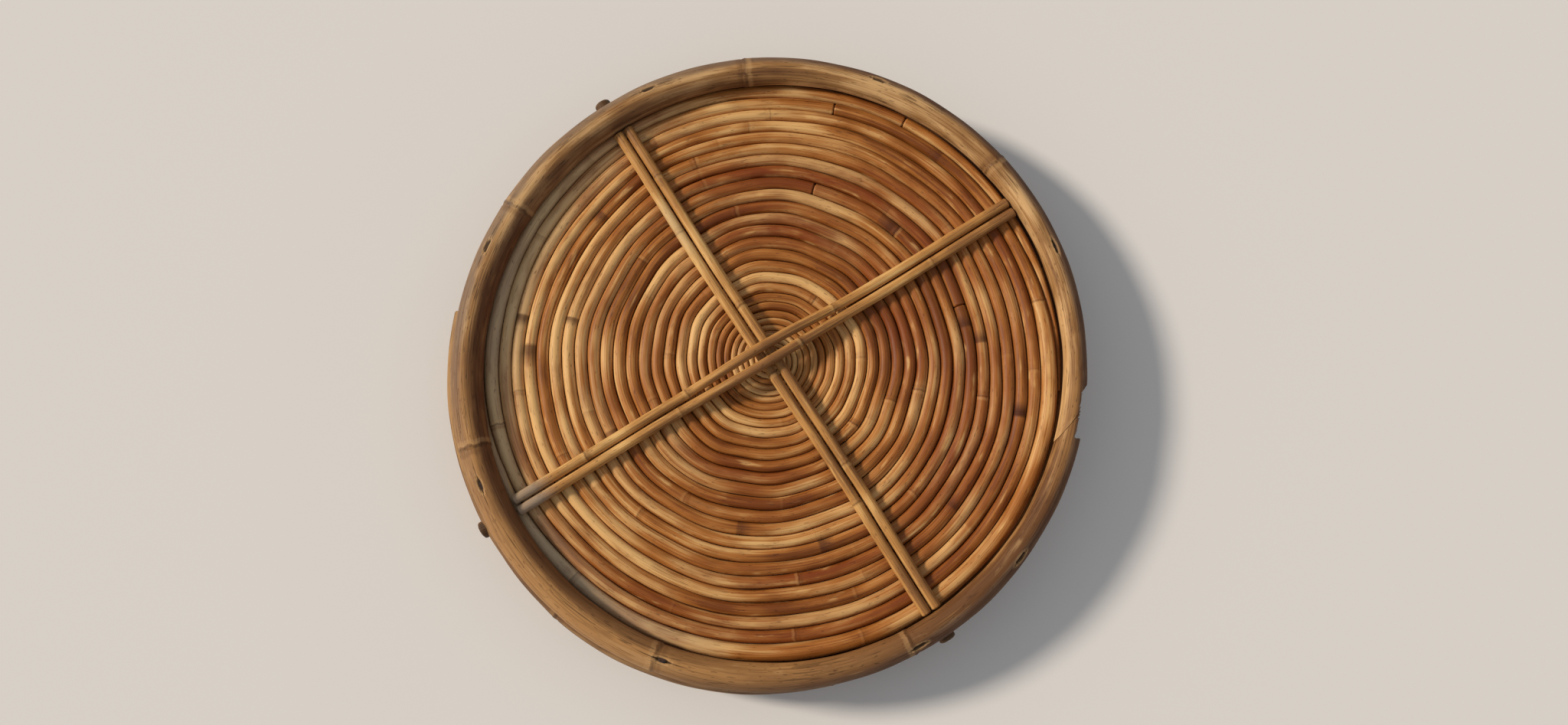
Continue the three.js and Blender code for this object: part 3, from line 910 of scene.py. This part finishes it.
        plain = tones(12, joints, 0.12)
        pole = Cane("middle_pole", lambda a: plan.place(plan.lower_reach(a) + step(a), a, plan.middle_axis),
                    start, end, lambda a: plan.lower_radius - self.wobble_depth, lambda a: plan.reach,
                    self.lower_sides, 0.003, joints, 0.0003, Wobble(5, self.wobble_depth, 0.08),
                    levels=lambda a: (-plan.lower_radius, plan.lower_radius), limit=limit, tip=0.0012,
                    fine_at=[start + lapped, start + FULL_TURN], tone=tone)
        return pole.build(Finish.LOWER_POLE)

    def bottom_pole(self) -> bpy.types.Object:
        """Brown foot ring, flattened underneath where the tray stands on it."""
        plan = self.plan
        gap = plan.touch / plan.reach
        start = math.radians(self.bottom_scarf) + gap
        end = start + FULL_TURN - 2 * gap
        joints = self.joints(self.bottom_scarf, self.bottom_joints)
        pole = Cane("bottom_pole", lambda a: plan.place(plan.lower_reach(a), a, plan.bottom_axis),
                    start, end, lambda a: plan.lower_radius - self.wobble_depth, lambda a: plan.reach,
                    self.lower_sides, 0.003, joints, 0.0003, Wobble(7, self.wobble_depth, 0.07),
                    levels=lambda a: (-plan.bottom_axis, plan.lower_radius),
                    slant=self.scarf / plan.reach, tip=0.0, tone=tones(13, joints, 0.12))
        return pole.build(Finish.LOWER_POLE)

    def build(self) -> list[bpy.types.Object]:
        """Make the three poles and say which solids they stand for."""
        return [fitted(self.top_pole(), "rim_pole_top"),
                fitted(self.middle_pole(), "rim_pole_middle"),
                fitted(self.bottom_pole(), "rim_pole_bottom")]


# Coil


@dataclass(frozen=True)
class Patch:
    """A stretch of the coil whose colour differs from the rest."""

    reach: float
    width: float
    angle: float
    half_angle: float
    depth: float

    def share(self, reach: float, angle: float) -> float:
        """Share of the difference at a place of the coil, its angle in degrees."""
        off = (angle - self.angle + 180) % 360 - 180
        side = max(0.0, 1 - abs(off / self.half_angle)) ** 0.7
        return self.depth * side * math.exp(-((reach - self.reach) / self.width) ** 2)


@dataclass(frozen=True)
class Spot:
    """A dark mark on one strand of the coil."""

    reach: float
    angle: float
    half_angle: float
    depth: float

    def share(self, reach: float, angle: float) -> float:
        """Depth of the mark at a place of the coil, its angle in degrees."""
        off = ((angle - self.angle + 180) % 360 - 180) / self.half_angle
        if abs(reach - self.reach) > 0.0036:
            return 0.0
        return self.depth * min(1.0, max(0.0, 5 * (off + 0.7)), max(0.0, 0.9 - off))


@dataclass
class Coil:
    """Flat coil of two canes wound side by side, fine at the heart and full size further out."""

    plan: Plan
    turns: float = 28.35
    heart_turns: float = 0.6
    heart_pitch: float = 0.0031
    growth_middle: float = 9.6
    growth_spread: float = 1.95
    turn_gap: float = 0.0006
    seen_gap: float = 0.0002
    edge_extra: float = 0.0012
    extra_from: float = 0.06
    extra_over: float = 0.12
    pared_turns: float = 0.06
    pared_tip: float = 0.2
    lead: float = 0.02
    squeezed_turns: float = 0.42
    shift: float = 0.002
    shift_angle: float = 88.0
    first_angle: float = 1.0
    length_gap: float = 0.0003
    steps: int = 24
    mark_steps: int = 300
    split_turns: tuple[tuple[float, ...], ...] = ((0.17, 4.21), (0.71, 3.54))
    sides: int = 18
    waves: tuple[tuple[float, float, float, float], ...] = (
        (0.00062, 3, 0.7, 22), (0.00052, 5, 2.1, -31), (0.0004, 8, 4.0, 44), (0.00026, 13, 1.0, -60))
    pitch: float = field(init=False)
    reds: tuple[Patch, ...] = (
        Patch(0.114, 0.009, 78, 50, 0.95), Patch(0.081, 0.011, 78, 52, 0.9),
        Patch(0.096, 0.006, 95, 30, 0.5), Patch(0.081, 0.018, 14, 34, 0.7),
        Patch(0.070, 0.014, 256, 52, 0.6), Patch(0.122, 0.007, 280, 34, 0.75),
        Patch(0.150, 0.006, 262, 52, 0.5), Patch(0.118, 0.024, 333, 38, 0.85),
        Patch(0.147, 0.008, 30, 26, 0.4), Patch(0.128, 0.007, 45, 26, 0.5),
        Patch(0.060, 0.012, 150, 34, 0.2), Patch(0.100, 0.010, 205, 26, 0.15),
    )
    pales: tuple[Patch, ...] = (
        Patch(0.128, 0.008, 95, 36, 0.5), Patch(0.098, 0.005, 66, 40, 0.5),
        Patch(0.102, 0.012, 252, 36, 0.4), Patch(0.118, 0.026, 172, 46, 0.55),
        Patch(0.132, 0.014, 222, 38, 0.5), Patch(0.140, 0.006, 12, 26, 0.4),
        Patch(0.150, 0.006, 88, 30, 0.4), Patch(0.087, 0.013, 22, 40, -0.6),
        Patch(0.120, 0.012, 22, 46, -0.4), Patch(0.078, 0.014, 225, 28, 0.45),
        Patch(0.068, 0.012, 340, 34, 0.35), Patch(0.152, 0.008, 180, 40, 0.4),
    )
    # Painted cool shade: grey on the outer strands at the left, where the rim's shadow falls.
    shade_greys: tuple[Patch, ...] = (
        Patch(0.160, 0.007, 172, 66, 0.8), Patch(0.149, 0.006, 165, 44, 0.45),
        Patch(0.161, 0.005, 228, 34, 0.75),
    )
    smudges: tuple[Spot, ...] = (
        Spot(0.128, 139, 2.2, 0.6), Spot(0.142, 170, 2.0, 0.8), Spot(0.134, 178, 4, 0.75),
        Spot(0.119, 168, 1.8, 0.8), Spot(0.145, 349, 2.4, 0.95), Spot(0.119, 7, 2.5, 0.8),
        Spot(0.113, 12, 2.5, 0.8), Spot(0.110, 50, 6, 0.8), Spot(0.106, 287, 3.5, 0.7),
        Spot(0.092, 261, 3.5, 0.6), Spot(0.151, 118, 1.6, 0.5), Spot(0.096, 205, 2.5, 0.5),
        Spot(0.160, 52, 2.0, 0.5), Spot(0.078, 120, 2.2, 0.6), Spot(0.128, 322, 1.8, 0.6),
        Spot(0.063, 300, 3.0, 0.6),
    )

    def __post_init__(self) -> None:
        """Settle the pitch at which a strand just fits the groove of the rim."""
        free = self.turns - 2 * self.squeezed_turns
        angles = [FULL_TURN * i / self.plan.ring_steps for i in range(self.plan.ring_steps)]
        self.pitch = self.plan.lower_radius
        for _ in range(20):
            room = min(self.groove(angle) for angle in angles)
            self.pitch = self.heart_pitch + (room - self.heart_pitch * free) / self.growth(free)

    @property
    def thickness(self) -> float:
        """Thickness of the solid cane in the outer turns."""
        return self.pitch - self.turn_gap

    @property
    def floor(self) -> float:
        """Height of the coil's level underside."""
        return self.plan.coil_plane - self.thickness / 2

    def groove(self, angle: float) -> float:
        """Reach of the groove of the rim, seen from the middle of the coil."""
        return self.plan.groove(angle, self.thickness) - self.shift * towards(angle, self.shift_angle)

    def growth(self, turns: float) -> float:
        """Turns of full size cane within a count of turns from the heart."""
        return self.growth_spread * math.log(1 + math.exp((turns - self.growth_middle) / self.growth_spread))

    def full(self, wound: float) -> float:
        """Half thickness of the unsqueezed cane, by a strand's own turns from its outer end."""
        share = 1 / (1 + math.exp((self.growth_middle - self.turns + 2 * wound) / self.growth_spread))
        return (self.heart_pitch + (self.pitch - self.heart_pitch) * share - self.turn_gap) / 2

    def inner_side(self, wound: float) -> float:
        """Reach of a strand's inner side."""
        turns = self.turns - 2 * wound
        grown = (self.pitch - self.heart_pitch) * self.growth(turns)
        return self.heart_pitch * turns + grown - self.full(wound)

    def joints(self, seed: int, start: float, end: float) -> list[Joint]:
        """Natural joints of a length, 15 to 27 cm apart, some of them plain and some hardly seen."""
        dice = random.Random(seed)
        places = []
        here = start
        while True:
            around = FULL_TURN * max(self.inner_side(here), 0.004)
            here += dice.uniform(0.15, 0.27) / around
            if here > end - 0.02 / around:
                return places
            places.append(Joint(here, 0.15 + 0.85 * dice.random() ** 2))

    def swayed(self, angle: float, reach: float) -> float:
        """Reach after the slow uneven waves that all strands share."""
        rise = held((reach - 0.018) / 0.045) * (1 - 0.55 * held((reach - 0.132) / 0.02))
        swing = 0.0
        for height, count, phase, drift in self.waves:
            swing += height * math.sin(count * angle + phase + drift * reach)
        return reach + rise * swing

    def pared_share(self, wound: float) -> float:
        """Share of the room at the rim that a strand takes up near its pared start."""
        rise = (1 - self.pared_tip) * (wound + self.lead) / (self.lead + self.pared_turns)
        return held(self.pared_tip + rise)

    def strand_place(self, start_angle: float, wound: float) -> tuple[float, float, float]:
        """Find the angle in radians, the half thickness and the reach of a strand at a place."""
        angle = math.radians(start_angle) + FULL_TURN * wound
        inner = self.inner_side(wound)
        rising = held((wound - self.extra_from) / self.extra_over)
        shifted = self.shift * towards(angle, self.shift_angle)
        limit = self.plan.round_groove(angle, self.thickness) - shifted
        plain = self.swayed(angle, inner + 2 * self.full(wound))
        taken = self.pared_share(wound - 0.5)
        room = limit - self.turn_gap * min(8 * taken, 1.0)
        outer = min(plain + 2 * self.edge_extra * rising, room - max(0.0, room - plain) * taken, limit)
        inner = self.swayed(angle, inner)
        inner = outer - (outer - inner) * self.pared_share(wound)
        return angle, (outer - inner) / 2, (outer + inner) / 2

    def length(self, name: str, start_angle: float, start: float, end: float, seed: int) -> bpy.types.Object:
        """Make one length of a strand.

        Args:
            name: Name of the piece.
            start_angle: Angle at which its strand starts under the rim.
            start: First place, in the strand's own turns from its outer end.
            end: Last place.
            seed: Seed of its joints and tones.

        Returns:
            The new object.
        """
        middle = self.plan.place(0.0, 0.0, 0.0)
        shift = self.plan.place(self.shift, math.radians(self.shift_angle), 0.0) - middle
        joints = self.joints(40 + seed, start, end)
        plain = tones(60 + seed, joints, 0.24, 0.52, 0.3)
        warmth = tones(160 + seed, joints, 0.2, 0.08, 0.3)
        extra = (self.turn_gap - self.seen_gap) / 2
        heart = (self.turns - self.growth_middle) / 2

        def route(wound: float) -> Vector:
            """Middle line of the strand."""
            angle, _, reach = self.strand_place(start_angle, wound)
            return self.plan.place(reach, angle, self.floor + self.full(wound)) + shift

        def radius(wound: float) -> float:
            """Half thickness, a little fuller than the solid, so that the strands all but touch."""
            return self.strand_place(start_angle, wound)[1] + extra

        def seen_from_middle(wound: float) -> tuple[float, float]:
            """Reach and angle in degrees of a place, as patches are given."""
            point = route(wound) - middle
            return math.hypot(point.x, point.y), math.degrees(math.atan2(point.y, point.x))

        def tone(wound: float) -> float:
            """Paler in pale patches and towards the fine turns at the heart."""
            fine = held((wound - heart + 0.6) / 2.2)
            pale = sum(patch.share(*seen_from_middle(wound)) for patch in self.pales)
            return plain(wound) * (1 - 0.5 * fine) + 0.48 * fine + pale * 0.7

        def tint(wound: float) -> tuple[float, float, float]:
            """Redness, greyness that is painted shade, and smudges."""
            spot = seen_from_middle(wound)
            calm = 1 - 0.8 * held((wound - heart + 0.6) / 2.2)
            red = calm * max(0.0, warmth(wound)) + sum(patch.share(*spot) for patch in self.reds)
            grey = sum(patch.share(*spot) for patch in self.shade_greys)
            return min(1.0, red), min(1.0, grey), smudge_and_shade(wound)

        def smudge_and_shade(wound: float) -> float:
            """Depth of the dark marks."""
            spot = seen_from_middle(wound)
            return min(1.0, sum(mark.share(*spot) for mark in self.smudges))

        fine = self.mark_steps
        looked_at = (i / fine for i in range(int(start * fine) + 1, int(end * fine)))
        marks = [wound for wound in looked_at if smudge_and_shade(wound) > 0.05]
        cane = Cane(name, route, start, end, radius,
                    lambda wound: FULL_TURN * max(self.inner_side(wound), 0.002), self.sides, 0.0026,
                    joints, 0.00018, Wobble(80 + seed, 0.00016, 0.043), tip=0.0004,
                    fine_at=marks, tone=tone, tint=tint)
        return cane.build(Finish.COIL)

    def build(self) -> list[bpy.types.Object]:
        """Make the three lengths of each strand and say which solids they stand for."""
        pieces = []
        last = round((self.turns - self.heart_turns) / 2 * self.steps) / self.steps
        for strand, name in enumerate(("first", "second")):
            inner_cuts = (round(turns * self.steps) / self.steps for turns in self.split_turns[strand])
            cuts = [0.0, *inner_cuts, last]
            for i, part in enumerate(("end", "outer", "inner")):
                gap = self.length_gap / (FULL_TURN * self.inner_side(cuts[i])) if i else 0.0
                start = cuts[i] + gap if i else -self.lead
                piece = self.length(f"{name}_strand_{part}", self.first_angle + 180 * strand,
                                    start, cuts[i + 1], 3 * strand + i)
                pieces.append(fitted(piece, f"coil_{name}_{part}"))
        return pieces


# Rods and bearers


@dataclass
class CrossRods:
    """Two pairs of thin rods over the coil, one pair bowed up and apart over the other."""

    plan: Plan
    coil: Coil
    radius: float = 0.0029
    spacing: float = 0.0066
    spread: float = 0.0013
    under_angle: float = 122.6
    over_angle: float = 31.5
    crossing: tuple[float, float] = (-0.0018, 0.0038)
    over_rise: float = 0.060
    end_gap: float = 0.0005
    swell: float = 0.00022
    joint_shares: tuple[tuple[float, ...], ...] = (
        (-0.62, -0.07, 0.55), (-0.48, 0.2, 0.78), (-0.7, -0.3, 0.28), (-0.35, 0.12, 0.66))
    pale_stretch: tuple[int, float, float] = (0, 0.091, 0.02)

    def line_place(self, angle: float, offset: float, along: float, height: float) -> Vector:
        """Place on a straight line through the crossing, turned and set off to one side."""
        c, s = math.cos(math.radians(angle)), math.sin(math.radians(angle))
        x = self.plan.middle[0] + self.crossing[0] + along * c + offset * s
        y = self.plan.middle[1] + self.crossing[1] + along * s - offset * c
        return Vector((x, y, height))

    def reach(self, angle: float, offset: float, way: int) -> float:
        """Distance along a rod from the crossing to the inside of the top pole."""
        x0, y0 = self.plan.middle
        reach = self.plan.reach - self.plan.top_diameter
        for _ in range(20):
            overruns = []
            for side in (-self.radius, self.radius):
                corner = self.line_place(angle, offset + side, way * reach, 0.0)
                around = math.atan2(corner.y - y0, corner.x - x0)
                wall = self.plan.top_reach(around) - self.plan.top_radius(around) - self.end_gap
                overruns.append(math.hypot(corner.x - x0, corner.y - y0) - wall)
            reach -= max(overruns)
        return reach

    def rod(self, name: str, angle: float, way: int, bowed: bool, index: int) -> bpy.types.Object:
        """Make one rod.

        Args:
            name: Name of the piece.
            angle: Direction of its pair, in degrees.
            way: Side of the pair that it lies on.
            bowed: Whether it bows up and aside at the crossing.
            index: Its place in the list of joints.

        Returns:
            The new object.
        """
        offset = way * self.spacing / 2
        start, end = -self.reach(angle, offset, -1), self.reach(angle, offset, 1)
        base = self.plan.coil_plane + self.coil.thickness / 2 + self.plan.touch + self.radius
        rise = 2 * self.radius + self.plan.touch + self.swell if bowed else 0.0
        apart = way * self.spread if bowed else 0.0

        def route(along: float) -> Vector:
            """Middle line of the rod, with slow bends that its pair shares and small ones of its own."""
            near = held(1 - abs(along) / self.over_rise)
            share = near * near * (3 - 2 * near)
            bends = 0.0006 * math.sin(along * 24 + angle) + 0.00012 * math.sin(along * 61 + index)
            return self.line_place(angle, offset + bends + apart * share, along, base + rise * share)

        def bleached(along: float) -> float:
            """Share of the pale stretch of one rod."""
            rod, middle, half = self.pale_stretch
            return max(0.0, 1 - ((along - middle) / half) ** 2) if index == rod else 0.0

        def tone(along: float) -> float:
            """Browner towards the crossing, and darker on the right half of the upper pair, which is painted
            shade.
            """
            # The extra 0.12 on the right half of the upper pair is painted shade.
            browner = 0.3 - 0.4 * min(1.0, abs(along) / 0.11) + (0.12 if bowed and along > 0 else 0.0)
            return plain(along) - browner + 0.5 * bleached(along)

        def tint(along: float) -> tuple[float, float, float]:
            """Grey left ends of the upper pair, painted shade of the rim together with weathering, and a grey
            cast on the pale stretch.
            """
            # Painted shade: the rim's shadow on the left ends, together with weathering.
            grey_end = 0.8 * held((-0.137 - along) / 0.012) * bowed
            return 0.0, grey_end + 0.35 * bleached(along), 0.0

        dice = random.Random(300 + index)
        joints = [Joint(share * end, dice.uniform(0.5, 1.0)) for share in self.joint_shares[index]]
        plain = tones(90 + index, joints, 0.2)
        cane = Cane(name, route, start, end, lambda along: self.radius - 0.00008,
                    lambda along: 1.0, 24, 0.0025, joints, self.swell * 0.9,
                    Wobble(20 + index, 0.0001, 0.045), levels=lambda along: (-self.radius, 1.0),
                    tip=0.0005, tone=tone, tint=tint)
        return cane.build(Finish.ROD)

    def build(self) -> list[bpy.types.Object]:
        """Make the four rods and say which solids they stand for."""
        pieces = []
        pairs = (("under_rod", self.under_angle, False), ("over_rod", self.over_angle, True))
        for pair, (name, angle, bowed) in enumerate(pairs):
            for j, way in enumerate((-1, 1)):
                rod = self.rod(f"{name}_cane_{j + 1}", angle, way, bowed, 2 * pair + j)
                pieces.append(fitted(rod, f"{name}_{j + 1}"))
        return pieces


@dataclass
class Bearers:
    """Two stouter canes under the coil, let through the middle pole and halved where they cross."""

    plan: Plan
    coil: Coil
    rods: CrossRods
    radius: float = 0.005
    dome: float = 0.0016
    lower_ends: tuple[float, float] = (0.0039, 0.010)
    upper_ends: tuple[float, float] = (0.0074, 0.002)

    @property
    def axis(self) -> float:
        """Height of the bearers' middle lines."""
        return self.coil.floor - self.plan.touch - self.radius

    def bearer(self, name: str, degrees: float, other: float, ends: tuple[float, float],
               notch_above: bool) -> bpy.types.Object:
        """Make one bearer, with half of its thickness cut away at the crossing.

        Args:
            name: Name of the piece.
            degrees: Its direction.
            other: Direction of the bearer that it crosses.
            ends: How far its two ends stand out beyond the round of the tray.
            notch_above: Whether its upper half is cut away, rather than its lower half.

        Returns:
            The new object.
        """
        angle = math.radians(degrees)
        cross_x, cross_y = self.rods.crossing
        aside = cross_x * math.cos(angle) + cross_y * math.sin(angle)
        start = -self.plan.oval(angle + math.pi) - ends[0] - aside
        end = self.plan.oval(angle) + ends[1] - aside
        x = self.plan.middle[0] + cross_x
        y = self.plan.middle[1] + cross_y

        def route(along: float) -> Vector:
            """Straight middle line."""
            return Vector((x + along * math.cos(angle), y + along * math.sin(angle), self.axis))

        def radius(along: float) -> float:
            """Half thickness, domed at both ends."""
            short = held((min(along - start, end - along)) / self.dome)
            return self.radius - 0.00012 - self.dome * (1 - math.sqrt(1 - (1 - short) ** 2))

        joints = [Joint(-0.09, 0.8), Joint(0.11, 0.8)]
        cane = Cane(name, route, start, end, radius, lambda along: 1.0, 24, 0.003, joints, 0.00004,
                    Wobble(int(degrees), 0.00006, 0.06), tip=0.0, tone=tones(int(degrees), joints, 0.08))
        piece = cane.build(Finish.BEARER)
        cutter = bmesh.new()
        bmesh.ops.create_cube(cutter, size=1.0)
        bmesh.ops.scale(cutter, vec=(2 * (self.radius + self.plan.touch), 4 * self.radius, 2 * self.radius),
                        verts=cutter.verts[:])
        turn = Matrix.Rotation(math.radians(other) + math.pi / 2, 3, "Z")
        bmesh.ops.rotate(cutter, matrix=turn, verts=cutter.verts[:])
        level = self.radius - self.plan.touch / 2
        bmesh.ops.translate(cutter, vec=(x, y, self.axis + (level if notch_above else -level)),
                            verts=cutter.verts[:])
        cut_away(piece, cutter)
        return piece

    def build(self) -> list[bpy.types.Object]:
        """Make both bearers and say which solids they stand for."""
        under, over = self.rods.under_angle, self.rods.over_angle
        lower = self.bearer("lower_bearer", under, over, self.lower_ends, True)
        upper = self.bearer("upper_bearer", over, under, self.upper_ends, False)
        return [fitted(lower, "bearer_lower"), fitted(upper, "bearer_upper")]


def cut_away(piece: bpy.types.Object, cutter: bmesh.types.BMesh) -> None:
    """Cut a shape out of a piece for good.

    Args:
        piece: Piece that loses the shape.
        cutter: Mesh of the shape, used up by the call.
    """
    mesh = bpy.data.meshes.new("cutter")
    cutter.to_mesh(mesh)
    cutter.free()
    tool = bpy.data.objects.new("cutter", mesh)
    bpy.context.scene.collection.objects.link(tool)
    modifier = piece.modifiers.new("cut", "BOOLEAN")
    modifier.object = tool
    modifier.operation = "DIFFERENCE"
    modifier.solver = "EXACT"
    shape = bpy.data.meshes.new_from_object(piece.evaluated_get(bpy.context.evaluated_depsgraph_get()))
    piece.modifiers.clear()
    piece.data = shape
    bpy.data.objects.remove(tool)
    bpy.data.meshes.remove(mesh)


def fitted(piece: bpy.types.Object, node: str) -> bpy.types.Object:
    """Let a finished piece ride on the tray and stand for its solid.

    Args:
        piece: Finished piece.
        node: Solid that it replaces.

    Returns:
        The same piece.
    """
    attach(piece, "root")
    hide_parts(node)
    return piece


# Studio


@dataclass
class Studio:
    """Pale floor, soft light and the camera."""

    plan: Plan
    distance: float = 0.6623
    tilt: float = 10.0
    side_step: float = 0.00792
    back_step: float = 0.00136
    rim_height: float = 0.044
    lens: float = 27.1

    def floor(self) -> None:
        """Lay a plain pale floor."""
        bm = bmesh.new()
        bmesh.ops.create_grid(bm, x_segments=1, y_segments=1, size=3.0)
        placed("floor", bm, PlainFinish("floor_matt", "e3ded8").build())

    def sun(self, name: str, azimuth: float, elevation: float, spread: float, power: float,
            colour: tuple[float, float, float]) -> None:
        """Hang a broad soft lamp so far away that it lights the floor evenly.

        Args:
            name: Name of the lamp.
            azimuth: Its direction from the tray, in degrees from +X.
            elevation: Its height above the floor, in degrees.
            spread: Angle that it spans, in radians.
            power: Its strength in watts per square metre.
            colour: Its colour.
        """
        data = bpy.data.lights.new(name, "SUN")
        data.angle = spread
        data.energy = power
        data.color = colour
        lamp = bpy.data.objects.new(name, data)
        level = math.cos(math.radians(elevation))
        lamp.location = (level * math.cos(math.radians(azimuth)), level * math.sin(math.radians(azimuth)),
                         math.sin(math.radians(elevation)))
        lamp.rotation_euler = (-lamp.location).to_track_quat("-Z", "Y").to_euler()
        bpy.context.scene.collection.objects.link(lamp)

    def camera(self) -> None:
        """Set the camera above the tray, leaning back a little."""
        tilt = math.radians(self.tilt)
        data = bpy.data.cameras.new("camera")
        data.lens = self.lens
        data.sensor_width = 36.0
        camera = bpy.data.objects.new("camera", data)
        x, y = self.plan.middle
        camera.location = (x + self.side_step, y - self.distance * math.sin(tilt) - self.back_step,
                           self.rim_height + self.distance * math.cos(tilt))
        camera.rotation_euler = (tilt, 0.0, 0.0)
        bpy.context.scene.collection.objects.link(camera)
        bpy.context.scene.camera = camera

    def build(self) -> None:
        """Set up the studio."""
        scene = bpy.context.scene
        scene.view_settings.view_transform = "Standard"
        world = bpy.data.worlds.new("studio")
        scene.world = world
        world.use_nodes = True
        world.node_tree.nodes["Background"].inputs[0].default_value = (0.88, 0.93, 1.0, 1.0)
        world.node_tree.nodes["Background"].inputs[1].default_value = 0.40
        self.floor()
        self.sun("key", 166.0, 35.0, 0.16, 2.9, (1.0, 0.91, 0.80))
        self.camera()


def main() -> None:
    """Build the tray and its studio."""
    logging.basicConfig(level=logging.INFO, format="%(message)s")
    plan = Plan()
    nails = RimNails(plan)
    coil = Coil(plan)
    rods = CrossRods(plan, coil)
    LOG.info("middle of the rim %.3f, %.3f mm, coil pitch %.3f mm",
             plan.middle[0] * 1000, plan.middle[1] * 1000, coil.pitch * 1000)
    for part in (Rim(plan, nails), coil, rods, Bearers(plan, coil, rods), nails):
        for piece in part.build():
            LOG.info("%s: %s, %d faces", type(part).__name__, piece.name, len(piece.data.polygons))
    Studio(plan).build()


if __name__ == "__main__":
    main()
